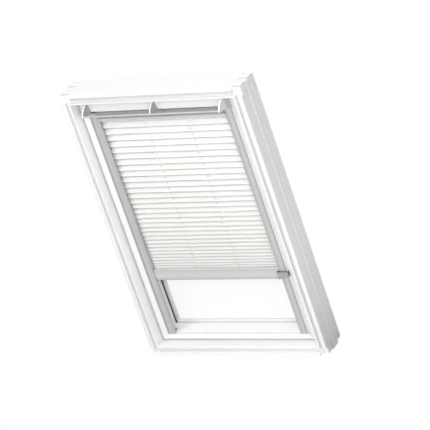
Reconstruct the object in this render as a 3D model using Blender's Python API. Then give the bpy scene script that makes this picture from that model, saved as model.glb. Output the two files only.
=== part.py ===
"""Centre-pivot roof window with a pleated blind in its sash, about 66 x 98 cm.

Metres. X runs to the right seen from the room, Y from the room to the outside and Z up the slope of the
roof. The origin is the middle of the sill's underside. Depths are counted from the frame's room face.
"""

import math

import bmesh
import bpy
from mathutils import Matrix, Vector

# The frame that is fixed in the roof
FRAME_WIDTH = 0.660
FRAME_HEIGHT = 0.978
FRAME_DEPTH = 0.098
JAMB_THICKNESS = 0.031
RAIL_THICKNESS = 0.0345
RAIL_STRIPS = (0.011, 0.0055)
JAMB_STRIPS = (0.0142, 0.0072)
GROOVE_DEPTH = 0.010
CORNER_SQUARE = 0.028
FIRST_FINGER = 0.0035
FINGER = 0.0245
FINGER_STEP = 0.0018
EDGE = 0.0012
SIDE_NOTCH_DEPTH = 0.045
SIDE_NOTCH = 0.0012
FOOT_RISE = 0.0050
BACK_REBATE = 0.0105
BACK_REBATE_DEPTH = 0.022
BACK_CHAMFER = 0.008

# The sash that swings in the frame
SWING_GAP = 0.008
SASH_SETBACK = 0.032
SASH_DEPTH = 0.0845
STILE_WIDTH = 0.025
SASH_TOP_WIDTH = 0.0375
SASH_BOTTOM_WIDTH = 0.024
SASH_ROUND = 0.003
GLASS_SEAT = 0.0585
PIVOT_DEPTH = 0.075

# Sealed double glazing, its seals and its outer cover strips
PANE = 0.004
GLASS_BEHIND_WOOD = 0.0112
GLASS_BEHIND_BOTTOM = 0.0169
SEAL_LIP = 0.0045
INNER_SEAL = 0.0012
OUTER_SEAL = 0.0014
OUTER_SEAL_WIDTH = 0.0085
SPACER_DEPTH = 0.0139
SPACER_WIDTH = 0.010
SPACER_SHOWS = 0.0075
COVER_THICKNESS = 0.002
COVER_LIP = 0.010
COVER_INSET = 0.0025

# Pivot fittings at mid height
PIVOT_PIN_RADIUS = 0.005
PIVOT_COLLAR_RADIUS = 0.012
PIVOT_PLATE = 0.0022
PIVOT_PLATE_WIDTH = 0.030
PIVOT_PLATE_LENGTH = 0.090
RUNNING_GAP = 0.0002

# Ventilation flap with its control bar, hinged on the sash's top rail
FLAP_AXIS_DEPTH = 0.0265
FLAP_AXIS_DROP = 0.0385
FLAP_FACE_TOP = (0.0175, 0.0058)
FLAP_FACE_LOW = (0.0243, 0.0385)
FLAP_TOP = (0.0195, 0.0045)
FLAP_FOOT = (0.0265, 0.0400)
FLAP_BEHIND_SASH_FACE = 0.0007
END_BRACKET = 0.0058
MIDDLE_BRACKET = 0.0045
BAR_REACH = 0.0250
BAR_DROP = 0.0284
BAR_WIDTH = 0.0072
BAR_HEIGHT = 0.0053
FLAP_PIN_RADIUS = 0.002
FLAP_PIN_LENGTH = 0.006
END_COVER_TOP = (0.0175, 0.0052)
END_COVER_FOOT_DEPTH = 0.0232
END_COVER_ROUND = 0.002
END_COVER_WIDTH = 0.010
END_COVER_INSET = 0.0025

# Blind: fixed rails
RAIL_WIDTH = 0.0305
RAIL_DEPTH = 0.032
RAIL_PROUD = 0.006
RAIL_WALL = 0.002
SHOULDER_WIDTH = 0.0017
SHOULDER_DROP = 0.0028
SHOULDER_FOOT = 0.0055
CROWN_OUTER = 0.0147
CROWN_INNER = 0.0247
CROWN_INNER_DROP = 0.0015
RETURN_LIP = 0.0090
RETURN_LIP_WALL = 0.0012
BACK_FLANGE = 0.009
HEAD_RAIL_HEIGHT = 0.027
HEAD_RAIL_LIP = 0.0098
HEAD_RAIL_STEP = 0.004
HEAD_RAIL_WALL = 0.0018
STRIP_THICKNESS = 0.004
STRIP_ABOVE_EDGE = 0.0015

# Blind: cloth and cords
PLEATS = 32
FIRST_PITCH = 0.0236
PITCH_BELLY = 0.0021
PLEAT_DEPTH = 0.0165
PLEAT_SETBACK = 0.0112
CLOTH_THICKNESS = 0.0012
CLOTH_IN_RAIL = 0.0175
CORD_RADIUS = 0.0007
CORD_X = 0.078
CORD_HOLE = 0.0030

# Blind: bottom bar, lowered to its height in the photograph
BOTTOM_BAR_LOW = 0.2685
BOTTOM_BAR_HEIGHT = 0.0405
BOTTOM_BAR_DEPTH = 0.0242
BOTTOM_BAR_SETBACK = 0.005
BOTTOM_BAR_WALL = 0.0016
BAR_LIP = 0.0030
BAR_LIP_BACK = 0.0012
BAR_CROWN = 0.0010
BAR_UNDERCUT = 0.0016
BAR_SIDE_GAP = 0.0007
END_PIECE = 0.022
RUNNER_LENGTH = 0.028
RUNNER_SLACK = 0.0006
GRIP_PROUD = 0.0068
GRIP_HEIGHT = 0.0255
GRIP_ABOVE_BAR = 0.0065
GRIP_IN = 0.0070
GRIP_WALL = 0.0013
GRIP_POCKET = 0.009
GRIP_ARM_HEIGHT = 0.0175
GRIP_ARM_SLOPE = 0.010
GRIP_HOOK = 0.0022
GRIP_HOOK_WALL = 0.0016

# Gap between touching pieces
GAP = 0.0003
CUT_SPARE = 0.004

# What follows from the driving dimensions
ROOM_FACE = -FRAME_DEPTH / 2
HALF_WIDTH = FRAME_WIDTH / 2
SASH_X = HALF_WIDTH - JAMB_THICKNESS - SWING_GAP
SASH_LOW = RAIL_THICKNESS + SWING_GAP
SASH_HIGH = FRAME_HEIGHT - RAIL_THICKNESS - SWING_GAP
SASH_FRONT = ROOM_FACE + SASH_SETBACK
SASH_BACK = SASH_FRONT + SASH_DEPTH
OPEN_X = SASH_X - STILE_WIDTH
OPEN_LOW = SASH_LOW + SASH_BOTTOM_WIDTH
OPEN_HIGH = SASH_HIGH - SASH_TOP_WIDTH
SEAT_Y = SASH_FRONT + GLASS_SEAT
PIVOT_Y = ROOM_FACE + PIVOT_DEPTH
PIVOT_Z = (SASH_LOW + SASH_HIGH) / 2
GLASS_X = OPEN_X + GLASS_BEHIND_WOOD
GLASS_LOW = OPEN_LOW - GLASS_BEHIND_BOTTOM
GLASS_HIGH = OPEN_HIGH + GLASS_BEHIND_WOOD
RAIL_FRONT = SASH_FRONT - RAIL_PROUD
RAIL_BACK = RAIL_FRONT + RAIL_DEPTH
RAIL_OUTER = OPEN_X - GAP
RAIL_INNER = RAIL_OUTER - RAIL_WIDTH
HEAD_RAIL_TOP = OPEN_HIGH - GAP
HEAD_RAIL_LOW = HEAD_RAIL_TOP - HEAD_RAIL_HEIGHT
STRIP_LOW = HEAD_RAIL_LOW + STRIP_ABOVE_EDGE
CLOTH_TOP = STRIP_LOW - GAP
BOTTOM_BAR_TOP = BOTTOM_BAR_LOW + BOTTOM_BAR_HEIGHT
CLOTH_LOW = BOTTOM_BAR_TOP + GAP
CLOTH_FRONT = RAIL_FRONT + PLEAT_SETBACK
CORD_Y = CLOTH_FRONT + (PLEAT_DEPTH + CLOTH_THICKNESS) / 2
BAR_FRONT = RAIL_FRONT + BOTTOM_BAR_SETBACK
END_COVER_START = OPEN_X - END_COVER_INSET - END_COVER_WIDTH
FLAP_HALF_LENGTH = END_COVER_START - 3 * GAP - END_BRACKET
FLAP_AXIS = Vector((0, ROOM_FACE + FLAP_AXIS_DEPTH, FRAME_HEIGHT - RAIL_THICKNESS - FLAP_AXIS_DROP))
FLAP_BACK = SASH_SETBACK - FLAP_BEHIND_SASH_FACE

WHITE_PAINT = ("white_paint", (0.86, 0.86, 0.85), 0.42, 0.0)
WHITE_PLASTIC = ("white_plastic", (0.84, 0.84, 0.83), 0.36, 0.0)
SATIN_ALUMINIUM = ("satin_aluminium", (0.54, 0.54, 0.54), 0.45, 0.4)
GREY_ALUMINIUM = ("grey_coated_aluminium", (0.30, 0.31, 0.32), 0.45, 0.4)
GREY_PLASTIC = ("grey_plastic", (0.26, 0.26, 0.265), 0.45, 0.0)
STEEL = ("zinc_steel", (0.66, 0.66, 0.65), 0.33, 1.0)
BLACK_RUBBER = ("black_rubber", (0.05, 0.05, 0.05), 0.6, 0.0)
SPACER_METAL = ("spacer_metal", (0.75, 0.76, 0.77), 0.40, 0.2)
CLEAR_GLASS = ("clear_glass", (0.92, 0.97, 0.96), 0.03, 0.0)
CLOTH = ("pleated_cloth", (0.78, 0.78, 0.77), 0.90, 0.0)
CORD = ("cord_braid", (0.80, 0.80, 0.78), 0.8, 0.0)

for old in list(bpy.data.objects):
    bpy.data.objects.remove(old)

parts = bpy.data.collections.new("pleated_blind_roof_window")
cutters = bpy.data.collections.new("cutters")
bpy.context.scene.collection.children.link(parts)
bpy.context.scene.collection.children.link(cutters)


def depth(value):
    """Y of a depth behind the frame's room face."""
    return ROOM_FACE + value


def material(finish):
    """The Principled material of a finish, made on first use."""
    name, colour, roughness, metallic = finish
    made = bpy.data.materials.get(name)
    if made is None:
        made = bpy.data.materials.new(name)
        made.use_nodes = True
        shader = made.node_tree.nodes["Principled BSDF"]
        shader.inputs["Base Color"].default_value = (*colour, 1)
        shader.inputs["Roughness"].default_value = roughness
        shader.inputs["Metallic"].default_value = metallic
    return made


def axis_empty(name, place):
    """An empty on a joint's axis, which carries the pieces of the moving body."""
    empty = bpy.data.objects.new(name, None)
    empty.location = place
    empty.empty_display_size = 0.05
    parts.objects.link(empty)
    return empty


def add(name, mesh, matrix, finish, carrier=None):
    """A named piece with its own material, carried by a body's empty."""
    piece = bpy.data.objects.new(name, mesh)
    mesh.materials.append(material(finish))
    parts.objects.link(piece)
    piece.matrix_world = matrix
    if carrier is not None:
        piece.parent = carrier
        piece.matrix_parent_inverse = Matrix.Translation(carrier.location).inverted()
    return piece


def rounded(corners, steps=3):
    """An outline of (a, b, radius) corners, with an arc at each corner that has a radius."""
    outline = []
    count = len(corners)
    for index, (a, b, radius) in enumerate(corners):
        here = Vector((a, b))
        if radius == 0:
            outline.append(here)
            continue
        before = (Vector(corners[index - 1][:2]) - here).normalized()
        after = (Vector(corners[(index + 1) % count][:2]) - here).normalized()
        half = before.angle(after) / 2
        middle = here + (before + after).normalized() * (radius / math.sin(half))
        start = here + before * (radius / math.tan(half)) - middle
        end = here + after * (radius / math.tan(half)) - middle
        turn = start.angle_signed(end)
        for step in range(steps + 1):
            arm = start.copy()
            arm.rotate(Matrix.Rotation(-turn * step / steps, 2))
            outline.append(middle + arm)
    return outline


def flipped(outline, side):
    """The outline with its first coordinate turned to the given side."""
    return [Vector((side * p[0], p[1])) for p in outline]


def section_matrix(along):
    """Local x and y to the section's two axes, local z to the direction that it is drawn out in."""
    columns = {
        "X": ((0, 1, 0), (0, 0, 1), (1, 0, 0)),
        "Y": ((1, 0, 0), (0, 0, 1), (0, -1, 0)),
        "Z": ((1, 0, 0), (0, 1, 0), (0, 0, 1)),
    }[along]
    return Matrix(columns).transposed().to_4x4()


def drawn_mesh(name, outlines, along, low, high):
    """Mesh and matrix of outlines drawn out along an axis; outlines after the first are holes.

    An outline's points are (y, z) along X, (x, z) along Y and (x, y) along Z.
    """
    curve = bpy.data.curves.new(name, "CURVE")
    curve.dimensions = "2D"
    curve.fill_mode = "BOTH"
    curve.extrude = (high - low) / 2
    for outline in outlines:
        spline = curve.splines.new("POLY")
        spline.points.add(len(outline) - 1)
        for point, place in zip(spline.points, outline):
            point.co = (place[0], place[1], 0, 1)
        spline.use_cyclic_u = True
    guide = bpy.data.objects.new(name + "_section", curve)
    cutters.objects.link(guide)
    matrix = section_matrix(along)
    matrix.translation = matrix.to_3x3() @ Vector((0, 0, 1)) * (1 if along != "Y" else -1) * (low + high) / 2
    guide.matrix_world = matrix
    bpy.context.view_layer.update()
    mesh = bpy.data.meshes.new_from_object(guide.evaluated_get(bpy.context.evaluated_depsgraph_get()))
    mesh.name = name
    bpy.data.objects.remove(guide)
    bpy.data.curves.remove(curve)
    closed = bmesh.new()
    closed.from_mesh(mesh)
    bmesh.ops.remove_doubles(closed, verts=closed.verts, dist=0.00001)
    bmesh.ops.recalc_face_normals(closed, faces=closed.faces)
    closed.to_mesh(mesh)
    closed.free()
    return mesh, matrix


def drawn(name, outlines, along, low, high, finish, carrier=None):
    """A piece drawn out along an axis from one outline, or from an outline and its holes."""
    if not isinstance(outlines[0][0], (tuple, list, Vector)):
        outlines = [outlines]
    mesh, matrix = drawn_mesh(name, outlines, along, low, high)
    return add(name, mesh, matrix, finish, carrier)


def rectangle(low, high, inset=0.0):
    """The four corners between two opposite ones."""
    return [
        (low[0] + inset, low[1] + inset),
        (high[0] - inset, low[1] + inset),
        (high[0] - inset, high[1] - inset),
        (low[0] + inset, high[1] - inset),
    ]


def cube_mesh(name, low, high):
    """A box about its own centre, and where that centre lies."""
    low, high = Vector(low), Vector(high)
    shape = bmesh.new()
    bmesh.ops.create_cube(shape, size=1, matrix=Matrix.Diagonal((*(high - low), 1)))
    mesh = bpy.data.meshes.new(name)
    shape.to_mesh(mesh)
    shape.free()
    return mesh, Matrix.Translation((low + high) / 2)


def hide_cutter(cutter):
    cutter.hide_render = True
    cutter.display_type = "WIRE"


def box_cutter(name, low, high):
    """A box that cuts; its sides are named by their lowest and highest corners."""
    mesh, matrix = cube_mesh(name, low, high)
    cutter = bpy.data.objects.new(name, mesh)
    cutters.objects.link(cutter)
    cutter.matrix_world = matrix
    hide_cutter(cutter)
    return cutter


def drawn_cutter(name, outline, along, low, high):
    """An outline drawn out along an axis that cuts."""
    mesh, matrix = drawn_mesh(name, [outline], along, low, high)
    cutter = bpy.data.objects.new(name, mesh)
    cutters.objects.link(cutter)
    cutter.matrix_world = matrix
    hide_cutter(cutter)
    return cutter


def rod_mesh(name, radius, length, sides=24):
    """A cylinder along X about its own centre."""
    shape = bmesh.new()
    bmesh.ops.create_cone(
        shape,
        cap_ends=True,
        segments=sides,
        radius1=radius,
        radius2=radius,
        depth=length,
        matrix=Matrix.Rotation(math.pi / 2, 4, "Y"),
    )
    mesh = bpy.data.meshes.new(name)
    shape.to_mesh(mesh)
    shape.free()
    return mesh


def rod_cutter(name, place, radius, length):
    """A cylinder along X that cuts or joins."""
    cutter = bpy.data.objects.new(name, rod_mesh(name, radius, length))
    cutters.objects.link(cutter)
    cutter.location = place
    hide_cutter(cutter)
    return cutter


def boolean(piece, cutter, operation="DIFFERENCE"):
    """Cuts the piece with the cutter, or joins the two."""
    modifier = piece.modifiers.new(cutter.name, "BOOLEAN")
    modifier.operation = operation
    modifier.solver = "EXACT"
    modifier.object = cutter


def finger_bounds():
    """Depths between the comb joint's fingers, from the room side."""
    first = GROOVE_DEPTH + FIRST_FINGER
    return [first + FINGER * step for step in range(4)]


# Frame: grooved members with comb joints at the corners
def grooved_section(thickness, strips):
    """(distance from the outer side, depth) round a member with the lining groove in its room face.

    The strips are the face's widths outside and inside the groove.
    """
    outer_strip, inner_strip = strips
    groove_end = thickness - inner_strip
    return [
        (0, EDGE),
        (EDGE, 0),
        (outer_strip - EDGE, 0),
        (outer_strip, EDGE),
        (outer_strip, GROOVE_DEPTH),
        (groove_end, GROOVE_DEPTH),
        (groove_end, EDGE / 2),
        (groove_end + EDGE / 2, 0),
        (thickness - EDGE, 0),
        (thickness, EDGE),
        (thickness, FRAME_DEPTH - EDGE),
        (thickness - EDGE, FRAME_DEPTH),
        (EDGE, FRAME_DEPTH),
        (0, FRAME_DEPTH - EDGE),
    ]


def notched(section):
    """The jamb's section, with the fine notch along its outer side."""
    return section + [
        (0, SIDE_NOTCH_DEPTH + SIDE_NOTCH),
        (SIDE_NOTCH, SIDE_NOTCH_DEPTH),
        (0, SIDE_NOTCH_DEPTH - SIDE_NOTCH),
    ]


def rebate_lower_edge(piece):
    """Cuts the rebate for the flashing and its chamfer from the back of the frame's lower edge."""
    rebate = FRAME_DEPTH - BACK_REBATE_DEPTH
    outline = [
        (depth(rebate), -CUT_SPARE),
        (depth(rebate), BACK_REBATE),
        (depth(FRAME_DEPTH - BACK_CHAMFER), BACK_REBATE),
        (depth(FRAME_DEPTH + CUT_SPARE), BACK_REBATE + BACK_CHAMFER + CUT_SPARE),
        (depth(FRAME_DEPTH + CUT_SPARE), -CUT_SPARE),
    ]
    half = HALF_WIDTH + CUT_SPARE
    boolean(piece, drawn_cutter(f"{piece.name}_back_rebate", outline, "X", -half, half))


def jamb(side, name):
    """A side of the frame. It keeps the comb's outer, middle and room-side fingers."""
    section = notched(grooved_section(JAMB_THICKNESS, JAMB_STRIPS))
    outline = flipped([(HALF_WIDTH - t, depth(d)) for t, d in section], side)
    piece = drawn(name, outline, "Z", FINGER_STEP, FRAME_HEIGHT - FINGER_STEP, WHITE_PAINT)
    bounds = finger_bounds()
    reach = HALF_WIDTH + CUT_SPARE
    inner = HALF_WIDTH - JAMB_THICKNESS - CUT_SPARE
    ends = (
        ("low", -CUT_SPARE, RAIL_THICKNESS + GAP, CORNER_SQUARE),
        ("high", FRAME_HEIGHT + CUT_SPARE, FRAME_HEIGHT - RAIL_THICKNESS - GAP, FRAME_HEIGHT - CORNER_SQUARE),
    )
    for end, tip, shoulder, square in ends:
        for finger in (0, 2):
            slot = box_cutter(
                f"{name}_{end}_slot_{finger}",
                (min(side * inner, side * reach), depth(bounds[finger]), min(tip, shoulder)),
                (max(side * inner, side * reach), depth(bounds[finger + 1]), max(tip, shoulder)),
            )
            boolean(piece, slot)
        corner = box_cutter(
            f"{name}_{end}_corner",
            (min(side * inner, side * reach), depth(-CUT_SPARE), min(tip, square)),
            (max(side * inner, side * reach), depth(GROOVE_DEPTH), max(tip, square)),
        )
        boolean(piece, corner)
    low, high = sorted((side * inner, side * reach))
    foot = box_cutter(
        f"{name}_foot",
        (low, depth(-CUT_SPARE), -CUT_SPARE),
        (high, depth(bounds[1]), FOOT_RISE),
    )
    boolean(piece, foot)
    rebate_lower_edge(piece)
    return piece


def frame_rail(top, name):
    """The head or the sill. It keeps the two fingers that go into the jambs' slots."""
    place = (lambda t: FRAME_HEIGHT - t) if top else (lambda t: t)
    outline = [(depth(d), place(t)) for t, d in grooved_section(RAIL_THICKNESS, RAIL_STRIPS)]
    half = HALF_WIDTH - FINGER_STEP
    piece = drawn(name, outline, "X", -half, half, WHITE_PAINT)
    bounds = finger_bounds()
    low, high = sorted((place(-CUT_SPARE), place(RAIL_THICKNESS + CUT_SPARE)))
    layers = (
        ("front", depth(-CUT_SPARE), depth(bounds[0] + GAP)),
        ("middle", depth(bounds[1] - GAP), depth(bounds[2] + GAP)),
        ("back", depth(bounds[3] - GAP), depth(FRAME_DEPTH + CUT_SPARE)),
    )
    for side in (-1, 1):
        shoulder = HALF_WIDTH - JAMB_THICKNESS - GAP
        tip = HALF_WIDTH + CUT_SPARE
        for layer, front, back in layers:
            slot = box_cutter(
                f"{name}_{layer}_slot_{side}",
                (min(side * shoulder, side * tip), front, low),
                (max(side * shoulder, side * tip), back, high),
            )
            boolean(piece, slot)
        if not top:
            inner, outer = sorted((side * shoulder, side * tip))
            foot = box_cutter(
                f"{name}_foot_{side}",
                (inner, depth(bounds[0]), -CUT_SPARE),
                (outer, depth(bounds[1] + CUT_SPARE / 2), FOOT_RISE),
            )
            boolean(piece, foot)
    if not top:
        rebate_lower_edge(piece)
    return piece


def make_frame():
    frame_rail(True, "frame_head")
    frame_rail(False, "frame_sill")
    for side, hand in ((-1, "left"), (1, "right")):
        jamb(side, f"frame_jamb_{hand}")


# Sash: four members rebated for the glass
def sash_section(width, glass_behind=GLASS_BEHIND_WOOD):
    """(distance from the outer side, depth) round a sash member with its glazing rebate."""
    front = SASH_SETBACK
    seat = front + GLASS_SEAT
    back = front + SASH_DEPTH
    rebate = width - glass_behind - GAP
    corners = [
        (0, front, SASH_ROUND),
        (width, front, SASH_ROUND),
        (width, seat, 0),
        (rebate, seat, 0),
        (rebate, back, 0),
        (0, back, 0),
    ]
    return rounded(corners)


def make_sash(carrier):
    for side, hand in ((-1, "left"), (1, "right")):
        outline = flipped([(SASH_X - t, depth(d)) for t, d in sash_section(STILE_WIDTH)], side)
        drawn(f"sash_stile_{hand}", outline, "Z", SASH_LOW, SASH_HIGH, WHITE_PAINT, carrier)
    half = OPEN_X - GAP
    top = [(depth(d), SASH_HIGH - t) for t, d in sash_section(SASH_TOP_WIDTH)]
    bottom = [(depth(d), SASH_LOW + t) for t, d in sash_section(SASH_BOTTOM_WIDTH, GLASS_BEHIND_BOTTOM)]
    for name, outline in (("sash_top_rail", top), ("sash_bottom_rail", bottom)):
        drawn(name, outline, "X", -half, half, WHITE_PAINT, carrier)


# Sealed unit, seals and cover strips
def ring(name, outer_inset, inner_inset, front, thickness, finish, carrier):
    """A flat frame; insets are counted inwards from the glass's edge."""
    low, high = (-GLASS_X, GLASS_LOW), (GLASS_X, GLASS_HIGH)
    outlines = [rectangle(low, high, outer_inset), rectangle(low, high, inner_inset)]
    return drawn(name, outlines, "Y", front, front + thickness, finish, carrier)


def make_glazing(carrier):
    lip = GLASS_BEHIND_WOOD + SEAL_LIP
    inner_seal = SEAT_Y + GAP
    inner_pane = inner_seal + INNER_SEAL + GAP
    spacer = inner_pane + PANE + GAP
    outer_pane = spacer + SPACER_DEPTH + GAP
    outer_seal = outer_pane + PANE + GAP
    cover = outer_seal + OUTER_SEAL + GAP
    spacer_end = GLASS_BEHIND_WOOD + SPACER_SHOWS
    ring("glazing_seal_inner", 0, lip, inner_seal, INNER_SEAL, BLACK_RUBBER, carrier)
    ring("glazing_spacer", spacer_end - SPACER_WIDTH, spacer_end, spacer, SPACER_DEPTH, SPACER_METAL, carrier)
    ring("glazing_seal_outer", 0, OUTER_SEAL_WIDTH, outer_seal, OUTER_SEAL, BLACK_RUBBER, carrier)
    for name, front in (("glazing_pane_inner", inner_pane), ("glazing_pane_outer", outer_pane)):
        outline = rectangle((-GLASS_X, GLASS_LOW), (GLASS_X, GLASS_HIGH))
        drawn(name, outline, "Y", front, front + PANE, CLEAR_GLASS, carrier)
    make_covers(cover, carrier)


def cover_section(width, front):
    """(distance from the sash's outer side, y) round a cover strip that hooks over the sash's side."""
    back = front + COVER_THICKNESS
    lip_front = front - COVER_LIP
    return [
        (width, front),
        (width, back),
        (-GAP - COVER_THICKNESS / 2, back),
        (-GAP - COVER_THICKNESS / 2, lip_front),
        (-GAP, lip_front),
        (-GAP, front),
    ]


def make_covers(front, carrier):
    side_section = cover_section(STILE_WIDTH - COVER_INSET, front)
    for side, hand in ((-1, "left"), (1, "right")):
        outline = flipped([(SASH_X - t, y) for t, y in side_section], side)
        drawn(f"sash_cover_{hand}", outline, "Z", SASH_LOW, SASH_HIGH, GREY_ALUMINIUM, carrier)
    half = OPEN_X + COVER_INSET - GAP
    top = [(y, SASH_HIGH - t) for t, y in cover_section(SASH_TOP_WIDTH - COVER_INSET, front)]
    bottom = [(y, SASH_LOW + t) for t, y in cover_section(SASH_BOTTOM_WIDTH - COVER_INSET, front)]
    for name, outline in (("sash_cover_top", top), ("sash_cover_bottom", bottom)):
        drawn(name, outline, "X", -half, half, GREY_ALUMINIUM, carrier)


# Pivots: a pin on the frame's plate turns in the collar of the sash's plate
def plate_outline(width, length):
    """A plate in the YZ plane round the pivot, with rounded ends."""
    half_width, half_length = width / 2, length / 2
    radius = width * 0.45
    corners = [
        (PIVOT_Y - half_width, PIVOT_Z - half_length, radius),
        (PIVOT_Y + half_width, PIVOT_Z - half_length, radius),
        (PIVOT_Y + half_width, PIVOT_Z + half_length, radius),
        (PIVOT_Y - half_width, PIVOT_Z + half_length, radius),
    ]
    return rounded(corners, 4)


def make_pivots(carrier):
    frame_side = HALF_WIDTH - JAMB_THICKNESS - GAP
    frame_plate_inner = frame_side - PIVOT_PLATE
    sash_side = SASH_X + GAP
    collar_end = frame_plate_inner - GAP
    pin_end = SASH_X + 2 * GAP
    outline = plate_outline(PIVOT_PLATE_WIDTH, PIVOT_PLATE_LENGTH)
    for side, hand in ((-1, "left"), (1, "right")):
        low, high = sorted((side * frame_side, side * frame_plate_inner))
        plate = drawn(f"pivot_frame_plate_{hand}", outline, "X", low, high, STEEL)
        pin_start = frame_plate_inner + PIVOT_PLATE / 2
        pin = rod_cutter(
            f"pivot_pin_{hand}",
            (side * (pin_start + pin_end) / 2, PIVOT_Y, PIVOT_Z),
            PIVOT_PIN_RADIUS,
            pin_start - pin_end,
        )
        boolean(plate, pin, "UNION")
        low, high = sorted((side * sash_side, side * (sash_side + PIVOT_PLATE)))
        holder = drawn(f"pivot_sash_plate_{hand}", outline, "X", low, high, STEEL, carrier)
        collar_start = sash_side + PIVOT_PLATE / 2
        collar = rod_cutter(
            f"pivot_collar_{hand}",
            (side * (collar_start + collar_end) / 2, PIVOT_Y, PIVOT_Z),
            PIVOT_COLLAR_RADIUS,
            collar_end - collar_start,
        )
        boolean(holder, collar, "UNION")
        bore = rod_cutter(
            f"pivot_bore_{hand}",
            (side * (sash_side + collar_end) / 2, PIVOT_Y, PIVOT_Z),
            PIVOT_PIN_RADIUS + RUNNING_GAP,
            2 * SWING_GAP,
        )
        boolean(holder, bore)


# Ventilation flap: the board, the control bar and its brackets turn as one
def bracket_front():
    """(depth, drop below the head) down the curved front edge of a bracket."""
    return [
        (0.0175, 0.0052),
        (0.0080, 0.0056),
        (0.0010, 0.0086),
        (-0.0060, 0.0124),
        (-0.0125, 0.0168),
        (-0.0185, 0.0222),
        (-0.0225, 0.0278),
    ]


def under_head(points):
    """(y, z) of points given as (depth, drop below the head's underside)."""
    base = FRAME_HEIGHT - RAIL_THICKNESS
    return [(depth(d), base - drop) for d, drop in points]


def make_flap(carrier):
    board = under_head(
        [
            FLAP_FACE_TOP,
            FLAP_TOP,
            (FLAP_BACK, FLAP_TOP[1]),
            (FLAP_BACK, FLAP_FOOT[1]),
            FLAP_FOOT,
            FLAP_FACE_LOW,
        ]
    )
    drawn("vent_flap", board, "X", -FLAP_HALF_LENGTH, FLAP_HALF_LENGTH, WHITE_PLASTIC, carrier)
    front, back = -BAR_REACH, BAR_WIDTH - BAR_REACH
    low = BAR_DROP + BAR_HEIGHT
    corners = under_head([(front, BAR_DROP), (back, BAR_DROP), (back, low), (front, low)])
    radii = (0.0022, 0.0012, 0.0012, 0.0022)
    bar = rounded([(y, z, radius) for (y, z), radius in zip(corners, radii)])
    drawn("control_bar", bar, "X", -FLAP_HALF_LENGTH, FLAP_HALF_LENGTH, SATIN_ALUMINIUM, carrier)
    make_end_brackets(carrier)
    make_middle_bracket(carrier, back, low)


def make_end_brackets(carrier):
    bar_low = BAR_DROP + BAR_HEIGHT
    lower = [
        (-BAR_REACH, bar_low - 0.0030),
        (0.0012 - BAR_REACH, bar_low + 0.0006),
        (-0.0120, 0.0385),
        (0.0150, 0.0408),
        (FLAP_BACK - 0.0020, 0.0412),
        (FLAP_BACK, 0.0395),
        (FLAP_BACK, 0.0052),
    ]
    outline = under_head(bracket_front() + lower)
    start = FLAP_HALF_LENGTH + GAP
    for side, hand in ((-1, "left"), (1, "right")):
        low, high = sorted((side * start, side * (start + END_BRACKET)))
        plate = drawn(f"bar_bracket_{hand}", outline, "X", low, high, WHITE_PLASTIC, carrier)
        pin_start = start + END_BRACKET / 2
        pin_end = start + END_BRACKET + FLAP_PIN_LENGTH
        place = (side * (pin_start + pin_end) / 2, FLAP_AXIS.y, FLAP_AXIS.z)
        pin = rod_cutter(f"flap_pin_{hand}", place, FLAP_PIN_RADIUS, pin_end - pin_start)
        boolean(plate, pin, "UNION")


def make_middle_bracket(carrier, bar_back, bar_low):
    clear = GAP
    front = bracket_front()
    front[0] = (FLAP_FACE_TOP[0] - clear, FLAP_FACE_TOP[1])
    lower = [
        (-0.0215, BAR_DROP - clear),
        (bar_back + clear, BAR_DROP - clear),
        (bar_back + clear, bar_low),
        (FLAP_FACE_LOW[0] - clear, FLAP_FACE_LOW[1]),
    ]
    outline = under_head(front[:-1] + lower)
    half = MIDDLE_BRACKET / 2
    drawn("bar_bracket_middle", outline, "X", -half, half, WHITE_PLASTIC, carrier)


def make_end_covers(carrier):
    """Grey pieces beside the flap, which hold its hinge pins; their face leans back as the flap's does."""
    foot = FRAME_HEIGHT - RAIL_THICKNESS - OPEN_HIGH - GAP
    back = SASH_SETBACK - GAP
    corners = under_head([END_COVER_TOP, (back, END_COVER_TOP[1]), (back, foot), (END_COVER_FOOT_DEPTH, foot)])
    radii = (END_COVER_ROUND, 0, 0, END_COVER_ROUND)
    outline = rounded([(y, z, radius) for (y, z), radius in zip(corners, radii)])
    for side, hand in ((-1, "left"), (1, "right")):
        low, high = sorted((side * END_COVER_START, side * (END_COVER_START + END_COVER_WIDTH)))
        piece = drawn(f"flap_end_cover_{hand}", outline, "X", low, high, GREY_PLASTIC, carrier)
        hole = rod_cutter(
            f"flap_pin_hole_{hand}",
            (side * END_COVER_START, FLAP_AXIS.y, FLAP_AXIS.z),
            FLAP_PIN_RADIUS + RUNNING_GAP,
            2 * (FLAP_PIN_LENGTH + 0.001),
        )
        boolean(piece, hole)


# Blind: rails that stay on the sash
def channel_section():
    """(distance from the outer side, y) round a side rail: a crowned face on a side wall."""
    wall = RAIL_WALL
    shoulder = (SHOULDER_WIDTH, RAIL_FRONT + SHOULDER_DROP)
    inner_face = RAIL_FRONT + CROWN_INNER_DROP
    lip_end = inner_face + RETURN_LIP
    lip_side = RAIL_WIDTH - RETURN_LIP_WALL
    corners = [
        (0, RAIL_FRONT + SHOULDER_FOOT, 0),
        (*shoulder, 0.0010),
        (CROWN_OUTER, RAIL_FRONT, 0.0120),
        (CROWN_INNER, RAIL_FRONT, 0.0080),
        (RAIL_WIDTH, inner_face, 0.0010),
        (RAIL_WIDTH, lip_end, 0),
        (lip_side, lip_end, 0),
        (lip_side, inner_face + wall, 0),
        (CROWN_INNER, RAIL_FRONT + wall, 0),
        (CROWN_OUTER, RAIL_FRONT + wall, 0),
        (wall, RAIL_FRONT + SHOULDER_DROP + wall, 0),
        (wall, RAIL_BACK - wall, 0),
        (BACK_FLANGE, RAIL_BACK - wall, 0),
        (BACK_FLANGE, RAIL_BACK, 0),
        (0, RAIL_BACK, 0),
    ]
    return rounded(corners)


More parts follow.
